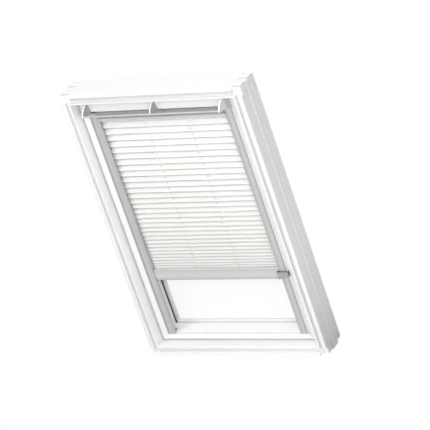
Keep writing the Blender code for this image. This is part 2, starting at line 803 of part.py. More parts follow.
def head_rail_section():
    """(y, z) round the head rail, open at its lower side, with a lip proud along its face."""
    wall = HEAD_RAIL_WALL
    lip_top = HEAD_RAIL_LOW + HEAD_RAIL_LIP
    step = RAIL_FRONT + HEAD_RAIL_STEP
    corners = [
        (RAIL_FRONT, HEAD_RAIL_LOW, 0.0010),
        (RAIL_FRONT, lip_top, 0.0012),
        (step, lip_top, 0),
        (step, HEAD_RAIL_TOP, 0),
        (RAIL_BACK, HEAD_RAIL_TOP, 0),
        (RAIL_BACK, HEAD_RAIL_LOW, 0),
        (RAIL_BACK - wall, HEAD_RAIL_LOW, 0),
        (RAIL_BACK - wall, HEAD_RAIL_TOP - wall, 0),
        (step + wall, HEAD_RAIL_TOP - wall, 0),
        (step + wall, lip_top - wall, 0),
        (RAIL_FRONT + wall, lip_top - wall, 0),
        (RAIL_FRONT + wall, HEAD_RAIL_LOW, 0),
    ]
    return rounded(corners)


def make_blind_rails(carrier):
    for side, hand in ((-1, "left"), (1, "right")):
        outline = flipped([(RAIL_OUTER - t, y) for t, y in channel_section()], side)
        drawn(f"side_rail_{hand}", outline, "Z", OPEN_LOW + GAP, HEAD_RAIL_TOP, SATIN_ALUMINIUM, carrier)
    wall = HEAD_RAIL_WALL
    half = RAIL_INNER - GAP
    drawn("head_rail", head_rail_section(), "X", -half, half, SATIN_ALUMINIUM, carrier)
    inside = [RAIL_FRONT + wall + GAP, RAIL_BACK - wall - GAP]
    strip = rectangle((inside[0], STRIP_LOW), (inside[1], STRIP_LOW + STRIP_THICKNESS))
    drawn("cloth_top_strip", strip, "X", -half, half, WHITE_PLASTIC, carrier)


# Blind: pleated cloth and the cords that run through it
def pleat_heights():
    """Heights of the cloth's creases, downwards; the pitch falls from pleat to pleat, faster lower down."""
    shares = [pleat / (PLEATS - 1) for pleat in range(PLEATS)]
    belly = [4 * PITCH_BELLY * share * (1 - share) for share in shares]
    last = 2 * (CLOTH_TOP - CLOTH_LOW - sum(belly)) / PLEATS - FIRST_PITCH
    heights = [CLOTH_TOP]
    for share, extra in zip(shares, belly):
        pitch = FIRST_PITCH + (last - FIRST_PITCH) * share + extra
        heights += [heights[-1] - pitch / 2, heights[-1] - pitch]
    return heights


def make_cloth(carrier):
    heights = pleat_heights()
    back = CLOTH_FRONT + PLEAT_DEPTH
    creases = [(back if index % 2 == 0 else CLOTH_FRONT, z) for index, z in enumerate(heights)]
    outline = creases + [(y + CLOTH_THICKNESS, z) for y, z in reversed(creases)]
    half = RAIL_INNER + CLOTH_IN_RAIL
    cloth = drawn("pleated_cloth", outline, "X", -half, half, CLOTH, carrier)
    for side, hand in ((-1, "left"), (1, "right")):
        x = side * CORD_X
        hole = box_cutter(
            f"cord_hole_{hand}",
            (x - CORD_HOLE / 2, CORD_Y - CORD_HOLE / 2, CLOTH_LOW - CUT_SPARE),
            (x + CORD_HOLE / 2, CORD_Y + CORD_HOLE / 2, CLOTH_TOP + CUT_SPARE),
        )
        boolean(cloth, hole)
        cord = rod_mesh(f"lift_cord_{hand}", CORD_RADIUS, CLOTH_TOP - CLOTH_LOW, 8)
        middle = Vector((x, CORD_Y, (CLOTH_TOP + CLOTH_LOW) / 2))
        upright = Matrix.Translation(middle) @ Matrix.Rotation(math.pi / 2, 4, "Y")
        add(f"lift_cord_{hand}", cord, upright, CORD, carrier)


# Blind: the bottom bar that slides in the side rails
def bar_section():
    """(y, z) round the bottom bar: a crowned face under a narrow lip, undercut at its lower edge."""
    low, high = BOTTOM_BAR_LOW, BOTTOM_BAR_TOP
    front, back = BAR_FRONT, BAR_FRONT + BOTTOM_BAR_DEPTH
    middle = (low + high) / 2
    corners = [
        (back, low, 0),
        (front + 3 * BAR_UNDERCUT, low, 0),
        (front + BAR_CROWN, low + 2 * BAR_UNDERCUT, 0.0020),
        (front, middle, 0.0400),
        (front + BAR_CROWN, high - BAR_LIP, 0),
        (front + BAR_CROWN + BAR_LIP_BACK, high - BAR_LIP, 0),
        (front + BAR_CROWN + BAR_LIP_BACK, high, 0.0008),
        (back, high, 0),
    ]
    return rounded(corners, 4)


def make_bottom_bar(carrier):
    half = RAIL_INNER - BAR_SIDE_GAP
    body_end = half - END_PIECE
    wall = BOTTOM_BAR_WALL
    bore = rectangle(
        (BAR_FRONT + 3 * BAR_UNDERCUT + wall / 2, BOTTOM_BAR_LOW + wall),
        (BAR_FRONT + BOTTOM_BAR_DEPTH - wall, BOTTOM_BAR_TOP - wall),
    )
    section = bar_section()
    drawn("bottom_bar", [section, bore], "X", -half + GAP, body_end, SATIN_ALUMINIUM, carrier)
    drawn("bar_end_piece", section, "X", body_end + GAP, half, SATIN_ALUMINIUM, carrier)
    make_runners(carrier, half)
    make_grip(carrier, half)


def make_runners(carrier, half):
    """Slides that run in the side rails, under the crowned face, and carry the bar's ends."""
    wall = RAIL_WALL + RUNNER_SLACK
    lip_end = RAIL_FRONT + CROWN_INNER_DROP + RETURN_LIP
    lip_side = RAIL_WIDTH - RETURN_LIP_WALL
    outline = [
        (RAIL_OUTER - half - GAP, lip_end + RUNNER_SLACK),
        (lip_side - RUNNER_SLACK, lip_end + RUNNER_SLACK),
        (lip_side - RUNNER_SLACK, RAIL_FRONT + CROWN_INNER_DROP + wall),
        (CROWN_INNER, RAIL_FRONT + wall),
        (CROWN_OUTER, RAIL_FRONT + wall),
        (wall, RAIL_FRONT + SHOULDER_DROP + wall),
        (wall, RAIL_BACK - wall),
        (RAIL_OUTER - half - GAP, RAIL_BACK - wall),
    ]
    middle = BOTTOM_BAR_LOW + BOTTOM_BAR_HEIGHT / 2
    low, high = middle - RUNNER_LENGTH / 2, middle + RUNNER_LENGTH / 2
    for side, hand in ((-1, "left"), (1, "right")):
        placed = flipped([(RAIL_OUTER - t, y) for t, y in outline], side)
        drawn(f"bar_runner_{hand}", placed, "Z", low, high, GREY_PLASTIC, carrier)


def make_grip(carrier, half):
    """The grip on the right: a shell, open at its top, whose arm hooks over the side rail's outer edge."""
    top = BOTTOM_BAR_TOP - GRIP_ABOVE_BAR
    low = top - GRIP_HEIGHT
    front = RAIL_FRONT - GRIP_PROUD
    over_rail = RAIL_FRONT - RUNNER_SLACK
    on_bar = BAR_FRONT - GAP
    start = half - GRIP_IN
    end = RAIL_OUTER + GRIP_HOOK
    hook = end - GRIP_HOOK_WALL
    hook_back = SASH_FRONT - RUNNER_SLACK
    outline = rounded(
        [
            (start, front, 0.0015),
            (end, front, 0.0015),
            (end, hook_back, 0),
            (hook, hook_back, 0),
            (hook, over_rail, 0),
            (half, over_rail, 0),
            (half, on_bar, 0),
            (start, on_bar, 0),
        ]
    )
    grip = drawn("grip_block", outline, "Z", low, top, GREY_PLASTIC, carrier)
    arm_low = top - GRIP_ARM_HEIGHT
    below_arm = [
        (half + GAP, low - CUT_SPARE),
        (half + GAP, low),
        (half + GAP + GRIP_ARM_SLOPE, arm_low),
        (end + CUT_SPARE, arm_low),
        (end + CUT_SPARE, low - CUT_SPARE),
    ]
    corner = drawn_cutter("grip_below_arm", below_arm, "Y", front - CUT_SPARE, on_bar + CUT_SPARE)
    boolean(grip, corner)
    pocket = box_cutter(
        "grip_pocket",
        (start + GRIP_WALL, front + GRIP_WALL, top - GRIP_POCKET),
        (end - GRIP_WALL, over_rail - GRIP_WALL, top + CUT_SPARE),
    )
    boolean(grip, pocket)


sash_axis = axis_empty("sash_axis", (0, PIVOT_Y, PIVOT_Z))
flap_axis = axis_empty("flap_axis", FLAP_AXIS)
bar_origin = axis_empty("bottom_bar_origin", (0, BAR_FRONT, BOTTOM_BAR_LOW))

make_frame()
make_sash(sash_axis)
make_glazing(sash_axis)
make_pivots(sash_axis)
make_flap(flap_axis)
make_end_covers(sash_axis)
make_blind_rails(sash_axis)
make_cloth(sash_axis)
make_bottom_bar(bar_origin)
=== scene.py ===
"""Looks of the roof window with its pleated blind: cloth, cords, small parts, finishes, light and camera."""

import math

import bmesh
import bpy
from mathutils import Matrix, Vector

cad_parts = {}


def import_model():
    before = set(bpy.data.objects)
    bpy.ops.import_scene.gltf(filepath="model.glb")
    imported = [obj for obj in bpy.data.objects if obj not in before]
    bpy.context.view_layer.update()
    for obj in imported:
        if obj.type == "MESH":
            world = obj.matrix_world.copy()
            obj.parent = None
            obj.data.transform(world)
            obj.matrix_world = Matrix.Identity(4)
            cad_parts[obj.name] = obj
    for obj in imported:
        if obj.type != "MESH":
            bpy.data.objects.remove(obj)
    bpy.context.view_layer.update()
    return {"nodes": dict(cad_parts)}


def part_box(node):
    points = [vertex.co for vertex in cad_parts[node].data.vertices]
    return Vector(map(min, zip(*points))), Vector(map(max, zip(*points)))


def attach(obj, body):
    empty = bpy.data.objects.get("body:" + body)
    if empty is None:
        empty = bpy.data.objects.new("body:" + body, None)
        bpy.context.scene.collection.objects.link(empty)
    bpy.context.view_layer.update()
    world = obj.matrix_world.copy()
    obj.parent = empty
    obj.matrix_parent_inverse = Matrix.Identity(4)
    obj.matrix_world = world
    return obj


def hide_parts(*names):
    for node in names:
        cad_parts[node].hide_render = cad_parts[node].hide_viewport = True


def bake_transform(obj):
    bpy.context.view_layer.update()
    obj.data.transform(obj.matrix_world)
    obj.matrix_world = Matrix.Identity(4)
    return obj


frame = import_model()
nodes = frame["nodes"]
bpy.ops.object.select_all(action="DESELECT")

# Lengths are in metres, and a depth is measured from the frame's room face.

# The photograph's view
CAMERA_PLACE = Vector((5.2755, -7.1823, 4.9022))
CAMERA_AIM = Vector((0.0372, 0.0256, 0.4853))
CAMERA_ROLL = math.radians(-19.244)
CAMERA_LENS = 264.38
SENSOR_WIDTH = 36
CAMERA_REACH = 100

# Light: each lamp's name, place and power
LAMPS = (
    ("key", (2.1, -2.9, 2.26), 97),
    ("left", (-1.5, -2.6, 3.2), 75),
    ("high", (0.0, -1.2, 3.6), 15),
    ("top", (0.0, 0.6, 3.4), 19),
    ("right", (3.2, -2.0, 1.4), 27),
    ("outside", (0.6, 2.6, 2.8), 36),
)
LAMP_SIZE = 2.0
LAMP_AIM = Vector((0, 0, 0.5))
SKY_STRENGTH = 0.02
FLOOR_HEIGHT = -0.35
FLOOR_SIZE = 60
FLOOR_COLOUR = (0.8, 0.8, 0.8, 1)
WHITE = (1, 1, 1, 1)

# Cloth, as it hangs in the photograph
PLEATS = 32
FIRST_PITCH = 0.0236
PITCH_BELLY = 0.0021
CLOSED_PITCH = 0.0020
SOLID_THICKNESS = 0.0012
CLOTH_THICKNESS = 0.0003
COLUMNS = 14
PANEL_SHARES = (0.0, 0.10, 0.41, 0.59, 0.93)
CREASE_NOSE = 0.00021
CREASE_WAVE = 0.00025
CREASE_TURNS = ((1, 23, 2.1), (0.6, 51, -1.3))  # (part, turn in a metre, shift from pleat to pleat)

# Cords, and the holes for them in the two panels of each pleat
CORD_X = 0.078
CORD_RADIUS = 0.0007
CORD_SIDES = 12
CORD_HOLE = 0.0026
HOLE_ROWS = (2, 7)

# Screws
HEAD_RADIUS = 0.0034
HEAD_SIDES = 20
HEAD_HEIGHT = 0.0010
HEAD_SUNK = 0.0001
HEAD_RIM = 0.0003
RIM_ANGLE = math.radians(60)
RECESS_LENGTH = 0.0042
RECESS_WIDTH = 0.0010
RECESS_DEPTH = 0.0007
SIDE_SCREWS = 5
SIDE_MARGIN = 0.045
END_SCREWS = 4
END_MARGIN = 0.030
PLATE_MARGIN = 0.013
PLATE_THICKNESS = 0.0022

# Plugs in the side rails' feet: in and out count from the rail's outer edge
PLUG_HEIGHT = 0.0048
PLUG_IN = 0.0026
PLUG_OUT = 0.0236
PLUG_SETBACK = 0.0053
PLUG_BACK = 0.0025
PLUG_EDGE = 0.0006

# Relief of a surface, as (scale and detail of the noise, height)
PEEL = (900, 2, 0.00008)
SATIN = (1400, 1, 0.00004)
GRAIN = (1100, 2, 0.00006)
DRAWN_HEIGHT = 0.00004
DRAWN_STRETCH = 0.02
WEAVE_HEIGHT = 0.00008
BRAID_HEIGHT = 0.0002

# Rails and bars, with ramp stops as (share of the way, brightness); the stops are painted shade and painted
# light
METALLIC = 0.35
SIDE_RAIL_TONE = 0.57
# Painted shade at the side rails' edges and painted highlights on their crowns, lit differently left and
# right
LEFT_RAIL_SHADE_STOPS = ((0, 0.88), (0.40, 0.97), (0.50, 1.06), (0.55, 0.97), (0.59, 0.76), (1, 0.78))
RIGHT_RAIL_SHADE_STOPS = (
    (0, 0.84), (0.15, 0.90), (0.38, 1), (0.58, 1), (0.66, 0.92),
    (0.76, 0.88), (0.80, 0.62), (0.87, 0.62), (0.92, 1.50),
)
HEAD_RAIL_TONE = 0.66
# Painted shade on the head rail above this height over its foot, and its tone
HEAD_LIP = 0.0058
HEAD_SHADE_TONE = 0.30
BAR_TONE = 0.67
# Painted shade and light up the bottom bar's face
BAR_SHADE_STOPS = (
    (0.03, 0.75), (0.13, 0.86), (0.22, 0.88), (0.32, 0.96),
    (0.42, 1), (0.8, 0.92), (0.97, 0.80),
)
# Painted light on the bottom bar's top, which the cloth shades
BAR_TOP_LIGHT_HEIGHT = 0.0003
BAR_TOP_LIGHT_TONE = 0.74

# Painted shade and painted light in the lining groove of the frame's room face, with ramp stops as (share of
# the reach, brightness)
FRONT_DEPTH = 0.0002
GROOVE_DEPTH = 0.0102
GROOVE_REACH = 0.0345
GROOVE_SPANS = {
    "X": ((0.204, 0), (0.206, 1), (0.4895, 1), (0.4915, 0)),
    "Z": ((0.1545, 0), (0.1565, 1), (0.683, 1), (0.685, 0)),
}
LEFT_JAMB_GROOVE_SHADE = ((0.215, 0.98), (0.228, 1.06), (0.43, 1.06), (0.465, 0.80))
RIGHT_JAMB_GROOVE_SHADE = ((0.215, 0.66), (0.228, 0.88), (0.45, 0.90), (0.488, 0.78))
HEAD_GROOVE_SHADE = ((0.16, 0.86), (0.18, 0.80), (0.60, 0.80), (0.66, 0.68))
SILL_GROOVE_SHADE = ((0.16, 1.10), (0.42, 1.13), (0.52, 1), (0.58, 0.80), (0.665, 0.80), (0.68, 0.92))
PLAIN_WALL = (0.0060, 0.0096)
# Painted light: the sill's room face is made this much brighter
SILL_FRONT_LIGHT = 1.10

# Corner joints of the frame; their lines are this wide to each side, and wider on the end faces
JOINT_START = 0.297
JOINT_END = 0.050
JOINT_DEPTHS = (0.0135, 0.0380, 0.0625, 0.0870)
JOINT_WIDTH = 0.0006
JOINT_EXTRA = 0.0008
END_FACE = 0.0025
JOINT_TONE = 0.64

# Painted shade on the outer faces of the frame, darker towards the bottom, with ramp stops as (height,
# brightness)
SIDE_FACE = 0.3278
SIDE_SHADE_STOPS = ((0, 0.64), (0.08, 0.75), (0.2, 0.90), (0.38, 1))

# Brackets of the control bar: middle and half width of an end one, and what counts as its flat side
END_BRACKET = (0.250, 0.0029)
BRACKET_SKIN = 0.0002

# Limits between two tones of one piece
# Painted shade line along the room-side top edge of the sash's bottom rail: its height, depth and tone
RAIL_EDGE_HEIGHT = 0.0034
RAIL_EDGE_DEPTH = 0.0026
RAIL_EDGE_SHADE_TONE = 0.72
GRIP_CAP = 0.0012
# Painted light on the glazing's lower runs: heights of the seal's and the spacer's
SEAL_LIGHT_RUN = 0.017
SPACER_LIGHT_RUN = 0.0101


class Socket:
    """A node's output; arithmetic on it adds Math nodes."""

    def __init__(self, tree, output):
        self.tree = tree
        self.output = output

    def math(self, operation, first, second):
        return self.tree.node("Math", {"operation": operation}, {0: first, 1: second})

    def __add__(self, other):
        return self.math("ADD", self, other)

    __radd__ = __add__

    def __sub__(self, other):
        return self.math("SUBTRACT", self, other)

    def __rsub__(self, other):
        return self.math("SUBTRACT", other, self)

    def __mul__(self, other):
        return self.math("MULTIPLY", self, other)

    __rmul__ = __mul__

    def __abs__(self):
        return self.tree.node("Math", {"operation": "ABSOLUTE"}, {0: self})

    def over(self, limit):
        """1 where the value is over the limit, and 0 elsewhere."""
        return self.math("GREATER_THAN", self, limit)

    def most(self, other):
        return self.math("MAXIMUM", self, other)


class Tree:
    """The nodes of a material or of the world."""

    def __init__(self, owner):
        owner.use_nodes = True
        self.owner = owner
        self.nodes = owner.node_tree.nodes
        self.links = owner.node_tree.links

    def node(self, kind, settings=None, values=None, output=0):
        """A node of a type with its settings, then the values or links of its sockets."""
        made = self.nodes.new("ShaderNode" + kind)
        for name, value in (settings or {}).items():
            if name == "stops":
                self.set_stops(made.color_ramp, value)
            else:
                setattr(made, name, value)
        for key, value in (values or {}).items():
            self.feed(self.find(made.inputs, key), value)
        return Socket(self, self.find(made.outputs, output))

    def find(self, sockets, key):
        """A socket by its name, or by its place among those in use."""
        used = [socket for socket in sockets if socket.enabled]
        return used[key] if isinstance(key, int) else next(s for s in used if s.name == key)

    def set_stops(self, ramp, stops):
        while len(ramp.elements) < len(stops):
            ramp.elements.new(0.5)
        for element, (position, brightness) in zip(ramp.elements, stops):
            element.position = position
            element.color = (brightness, brightness, brightness, 1)

    def feed(self, socket, value):
        if isinstance(value, Socket):
            self.links.new(value.output, socket)
        else:
            socket.default_value = value

    def mix(self, amount, first, second, how="MIX"):
        """A colour mixed of two, each a socket or three numbers."""
        values = {"Factor": amount, "A": first, "B": second}
        for key in ("A", "B"):
            if not isinstance(values[key], Socket):
                values[key] = (*values[key], 1)
        return self.node("Mix", {"data_type": "RGBA", "blend_type": how}, values)


class Finish(Tree):
    """A procedural material on the Principled shader."""

    def __init__(self, name, **fixed):
        super().__init__(bpy.data.materials.new(name))
        self.shader = self.nodes["Principled BSDF"]
        self.colour = None
        self.set(**fixed)

    def set(self, **values):
        """Values of the shader's sockets, and links of what changes over the surface."""
        for name, value in values.items():
            self.feed(self.shader.inputs[name.replace("_", " ")], value)

    def tint(self, amount, first, second):
        """Gives the surface a colour between two."""
        self.colour = self.mix(amount, first, second)
        self.set(Base_Color=self.colour)

    def shade(self, amount, by):
        """Multiplies the surface's colour, as far as the amount says."""
        factor = by if isinstance(by, Socket) else (by, by, by)
        self.colour = self.mix(amount, self.colour, factor, "MULTIPLY")
        self.set(Base_Color=self.colour)

    def emboss(self, pattern, height):
        self.set(Normal=self.node("Bump", values={"Height": pattern, "Distance": height}))

    def relief(self, scale, detail, height):
        """Embosses a noise, and gives it back."""
        pattern = self.noise(scale, detail)
        self.emboss(pattern, height)
        return pattern

    def mould(self, roughness):
        """The grain of mouldings and dull coatings."""
        self.set(Roughness=roughness + 0.16 * self.relief(*GRAIN))

    def along(self, axis):
        """The distance from the origin along an axis."""
        place = self.node("TexCoord", output="Object")
        return self.node("SeparateXYZ", values={0: place}, output="XYZ".index(axis))

    def place(self, stretch=(1, 1, 1)):
        """Object coordinates, stretched."""
        place = self.node("TexCoord", output="Object")
        return self.node("Mapping", values={"Vector": place, "Scale": stretch})

    def noise(self, scale, detail, stretch=(1, 1, 1), rough=0.5):
        values = {"Vector": self.place(stretch), "Scale": scale, "Detail": detail, "Roughness": rough}
        return self.node("TexNoise", values=values)

    def ramp(self, value, stops):
        return self.node("ValToRGB", {"stops": stops}, {0: value})


def grey(tone, warmth=0.005):
    return (tone, tone, tone - warmth)


def white_paint(name="white_paint", low=0.84, high=0.88):
    """Sprayed lacquer: a fine orange peel under an even white."""
    finish = Finish(name)
    finish.tint(finish.noise(scale=6, detail=3), grey(low), grey(high))
    finish.set(Roughness=0.36 + 0.14 * finish.noise(scale=25, detail=3))
    finish.relief(*PEEL)
    return finish


def groove_shade_mask(finish, axis, depth, share):
    """1 where shade and light are painted in the lining groove, apart from the plain part of the jambs'
    groove walls.
    """
    mask = depth.over(FRONT_DEPTH) * (GROOVE_DEPTH - depth).over(0)
    if axis == "X":
        low, high = PLAIN_WALL
        mask = mask * abs(depth - (low + high) / 2).over((high - low) / 2)
    return mask * finish.ramp(share, GROOVE_SPANS[axis])


def joint_mask(finish, depth):
    """1 on the edges between the fingers of the frame's corner joints."""
    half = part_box("frame_head")[1].z / 2
    from_middle = abs(finish.along("Z") - half)
    width = JOINT_WIDTH + JOINT_EXTRA * from_middle.over(half - END_FACE)
    lines = 0.0
    for place in JOINT_DEPTHS:
        lines = (width - abs(depth - place)).over(0) + lines
    return from_middle.over(half - JOINT_END) * abs(finish.along("X")).over(JOINT_START) * lines


def frame_paint(name, axis, inner, toward, stops, front=None):
    """The same lacquer with painted shade and light in the lining groove, dark lines in the corner joints,
    and painted shade down the outer faces, darker towards the bottom.

    The groove's stops run outwards from the member's inner face, so downwards where toward is -1.
    """
    finish = white_paint(name)
    depth = finish.along("Y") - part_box("frame_head")[0].y
    share = toward * (abs(finish.along(axis)) - inner) * (1 / GROOVE_REACH)
    # Painted light on the room face where a front factor is given
    if front:
        finish.shade((FRONT_DEPTH - depth).over(0), front)
    # Painted shade and light in the lining groove
    finish.shade(groove_shade_mask(finish, axis, depth, share), finish.ramp(share, stops))
    finish.shade(joint_mask(finish, depth), JOINT_TONE)
    # Painted shade down the outer faces, darker towards the bottom
    outside = abs(finish.along("X")).over(SIDE_FACE)
    finish.shade(outside, finish.ramp(finish.along("Z"), SIDE_SHADE_STOPS))
    return finish


def bottom_rail_paint():
    """Lacquer painted brighter as painted light, with a painted shade line along the room-side edge of the
    top.
    """
    # Painted light: a brighter copy of the white lacquer
    finish = white_paint("white_paint_bottom_painted_light", 0.93, 0.95)
    low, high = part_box("sash_bottom_rail")
    near_top = finish.along("Z").over(high.z - RAIL_EDGE_HEIGHT)
    near_room = (low.y + RAIL_EDGE_DEPTH - finish.along("Y")).over(0)
    # Painted shade line along the top's room-side edge
    finish.shade(near_top * near_room, RAIL_EDGE_SHADE_TONE)
    return finish


def white_plastic():
    finish = Finish("white_plastic")
    finish.tint(finish.noise(scale=9, detail=2), grey(0.78), grey(0.81))
    finish.set(Roughness=0.30 + 0.12 * finish.noise(scale=40, detail=2))
    finish.relief(*SATIN)
    return finish


def bracket_plastic(name, middle, half, tone):
    """White moulding whose flat sides are painted grey as painted shade; the tone sets how dark."""
    finish = Finish(name)
    # Painted shade on the flat sides
    sides = abs(finish.along("X") - middle).over(half - BRACKET_SKIN)
    finish.tint(sides, grey(0.86), grey(tone))
    finish.set(Roughness=0.38 + 0.12 * finish.noise(scale=60, detail=2))
    finish.relief(*SATIN)
    return finish


def aluminium(name, tone, along, metallic=METALLIC):
    """Satin metal, drawn along one axis."""
    finish = Finish(name, Metallic=metallic)
    stretch = tuple(DRAWN_STRETCH if axis == along else 1.0 for axis in "XYZ")
    lines = finish.noise(scale=1500, detail=3, stretch=stretch, rough=0.6)
    broad = finish.noise(scale=260, detail=1, stretch=stretch)
    finish.tint(0.5 * lines + 0.5 * broad, grey(tone * 0.92, 0), grey(tone * 1.05, 0.003))
    finish.set(Roughness=0.42 + 0.14 * lines)
    finish.emboss(lines, DRAWN_HEIGHT)
    return finish


def side_rail_metal(hand, stops):
    """Painted shade and highlights across the rail, different on each side; the stops run from the rail's
    inner edge to its outer edge.
    """
    low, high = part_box(f"side_rail_{hand}")
    inner = min(abs(low.x), abs(high.x))
    finish = aluminium(f"side_rail_{hand}_aluminium", SIDE_RAIL_TONE, "Z")
    share = (abs(finish.along("X")) - inner) * (1 / (high.x - low.x))
    # Painted shade and highlights across the rail
    finish.shade(1.0, finish.ramp(share, stops))
    return finish


def head_rail_metal():
    """Light along the lip; the face above it and the lip's top, in the shade of the bar and flap, are
    painted dark grey and not metallic as painted shade.
    """
    finish = aluminium("head_rail_aluminium", HEAD_RAIL_TONE, "X")
    above_lip = finish.along("Z").over(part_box("head_rail")[0].z + HEAD_LIP)
    # Painted shade above the lip
    finish.tint(above_lip, finish.colour, grey(HEAD_SHADE_TONE))
    finish.set(Metallic=METALLIC - METALLIC * above_lip)
    return finish


def bottom_bar_metal():
    """The stops run up the bar as painted shade and light on its face; its top is painted light and not
    metallic, where the cloth shades it.
    """
    low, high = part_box("bottom_bar")
    finish = aluminium("bottom_bar_aluminium", BAR_TONE, "X")
    share = (finish.along("Z") - low.z) * (1 / (high.z - low.z))
    # Painted shade and light up the face
    finish.shade(1.0, finish.ramp(share, BAR_SHADE_STOPS))
    # Painted light on the top
    strip = finish.along("Z").over(high.z - BAR_TOP_LIGHT_HEIGHT)
    finish.tint(strip, finish.colour, grey(BAR_TOP_LIGHT_TONE))
    finish.set(Metallic=METALLIC - METALLIC * strip)
    return finish


def moulded(name, tone):
    """Grained plastic."""
    finish = Finish(name)
    finish.tint(finish.noise(scale=30, detail=3), grey(tone * 0.9, 0), grey(tone, -0.003))
    finish.mould(0.37)
    return finish


def grip_plastic():
    """A grey cap in front of a dark body; the body's dark tone also serves as painted shade on its top, in
    its pocket and on its end.
    """
    finish = Finish("grip_plastic")
    body = finish.along("Y").over(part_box("grip_block")[0].y + GRIP_CAP)
    # Partly painted shade: the dark body behind the cap
    finish.tint(body, grey(0.36, 0), grey(0.11, 0))
    finish.mould(0.37)
    return finish


def rubber():
    """Black seal along the sides; the lower run is painted pale as painted light from above."""
    finish = Finish("black_rubber")
    sides = finish.along("Z").over(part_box("glazing_seal_inner")[0].z + SEAL_LIGHT_RUN)
    # Painted light on the lower run
    finish.tint(sides, grey(0.86), grey(0.04))
    finish.mould(0.52)
    return finish


def spacer_metal():
    """Bright at the sides; the lower run is painted paler still as painted light from above, like the
    seal's.
    """
    finish = aluminium("spacer_metal", 0.80, "Z", 0.2)
    sides = finish.along("Z").over(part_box("glazing_spacer")[0].z + SPACER_LIGHT_RUN)
    # Painted light on the lower run
    finish.tint(sides, grey(0.93), finish.colour)
    return finish


def steel():
    """Zinc-plated, with the plating's faint cells."""
    finish = Finish("zinc_steel", Metallic=1.0)
    cells = finish.node("TexVoronoi", values={"Vector": finish.place(), "Scale": 260.0})
    finish.tint(cells, grey(0.55), grey(0.70))
    finish.set(Roughness=0.30 + 0.15 * finish.noise(scale=120, detail=2))
    return finish


def glass():
    """Clear float glass that shows more of its surface when seen aslant."""
    finish = Finish("clear_glass", Roughness=0.03, IOR=1.5)
    aslant = finish.node("LayerWeight", values={"Blend": 0.2}, output="Facing")
    finish.tint(aslant, (0.95, 0.98, 0.975), (0.80, 0.88, 0.86))
    finish.set(Alpha=0.02 + 0.20 * aslant)
    return finish


def cloth():
    """Woven polyester: threads both ways, a few slubs, and soft sheen."""
    finish = Finish("pleated_cloth", Sheen_Weight=0.25, Sheen_Roughness=0.5)
    warp = finish.noise(scale=2600, detail=1, stretch=(1, 0.25, 0.25))
    weft = finish.noise(scale=2600, detail=1, stretch=(0.15, 1, 1))
    weave = 0.5 * warp + 0.5 * weft
    slubs = finish.noise(scale=90, detail=3, stretch=(0.2, 1, 1))
    finish.tint(slubs, grey(0.76, 0.012), grey(0.81, 0.012))
    finish.set(Roughness=0.80 + 0.15 * weave)
    finish.emboss(weave, WEAVE_HEIGHT)
    return finish


def braid():
    """Cord, with its strands running round it aslant."""
    finish = Finish("cord_braid", Roughness=0.8)
    turns = {"wave_type": "BANDS", "bands_direction": "DIAGONAL"}
    strands = finish.node("TexWave", turns, {"Vector": finish.place(), "Scale": 260.0, "Distortion": 0.5})
    finish.tint(strands, grey(0.76, 0.02), grey(0.86, 0.02))
    finish.emboss(strands, BRAID_HEIGHT)
    return finish


JAMB_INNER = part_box("frame_jamb_right")[0].x
HEAD_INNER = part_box("frame_head")[0].z
SILL_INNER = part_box("frame_sill")[1].z
FAR_BRACKET = (-END_BRACKET[0], END_BRACKET[1])
MIDDLE_BRACKET = (0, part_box("bar_bracket_middle")[1].x)

# Finishes of more than one piece
WHITE_PLASTIC = white_plastic()
DARK_PLASTIC = moulded("dark_plastic", 0.20)
BAR_METAL = bottom_bar_metal()
COATED_ACROSS = aluminium("coated_aluminium_across", 0.30, "X")
COATED_UP = aluminium("coated_aluminium_up", 0.30, "Z")
STEEL = steel()
CLOTH = cloth()
BRAID = braid()

FINISHES = {
    "frame_jamb_left": frame_paint("white_paint_jamb_left", "X", JAMB_INNER, 1, LEFT_JAMB_GROOVE_SHADE),
    "frame_jamb_right": frame_paint("white_paint_jamb_right", "X", JAMB_INNER, 1, RIGHT_JAMB_GROOVE_SHADE),
    "frame_head": frame_paint("white_paint_head", "Z", HEAD_INNER, 1, HEAD_GROOVE_SHADE),
    "frame_sill": frame_paint("white_paint_sill", "Z", SILL_INNER, -1, SILL_GROOVE_SHADE, SILL_FRONT_LIGHT),
    "sash_": white_paint(),
    "sash_bottom_rail": bottom_rail_paint(),
    "pivot_": STEEL,
    "glazing_pane": glass(),
    "glazing_seal": rubber(),
    "glazing_spacer": spacer_metal(),
    "sash_cover_top": COATED_ACROSS,
    "sash_cover_bottom": COATED_ACROSS,
    "sash_cover_left": COATED_UP,
    "sash_cover_right": COATED_UP,
    "flap_end_cover": moulded("light_grey_plastic", 0.44),
    "side_rail_left": side_rail_metal("left", LEFT_RAIL_SHADE_STOPS),
    "side_rail_right": side_rail_metal("right", RIGHT_RAIL_SHADE_STOPS),
    "head_rail": head_rail_metal(),
    "cloth_top_strip": WHITE_PLASTIC,
    "pleated_cloth": CLOTH,
    "lift_cord": BRAID,
    "vent_flap": WHITE_PLASTIC,
    "control_bar": aluminium("control_bar_aluminium", 0.50, "X"),
    # Painted shade on the brackets' sides: darker on the left and middle ones, lighter on the right one
    "bar_bracket_left": bracket_plastic("far_bracket_shaded_plastic", *FAR_BRACKET, 0.32),
    "bar_bracket_middle": bracket_plastic("middle_bracket_shaded_plastic", *MIDDLE_BRACKET, 0.32),
    "bar_bracket_right": bracket_plastic("end_bracket_shaded_plastic", *END_BRACKET, 0.62),
    "bottom_bar": BAR_METAL,
    "bar_end_piece": BAR_METAL,
    "bar_runner": moulded("grey_plastic", 0.26),
    "grip_block": grip_plastic(),
}


def add(name, data):
    """A new object in the scene."""
    made = bpy.data.objects.new(name, data)
    bpy.context.scene.collection.objects.link(made)
    return made


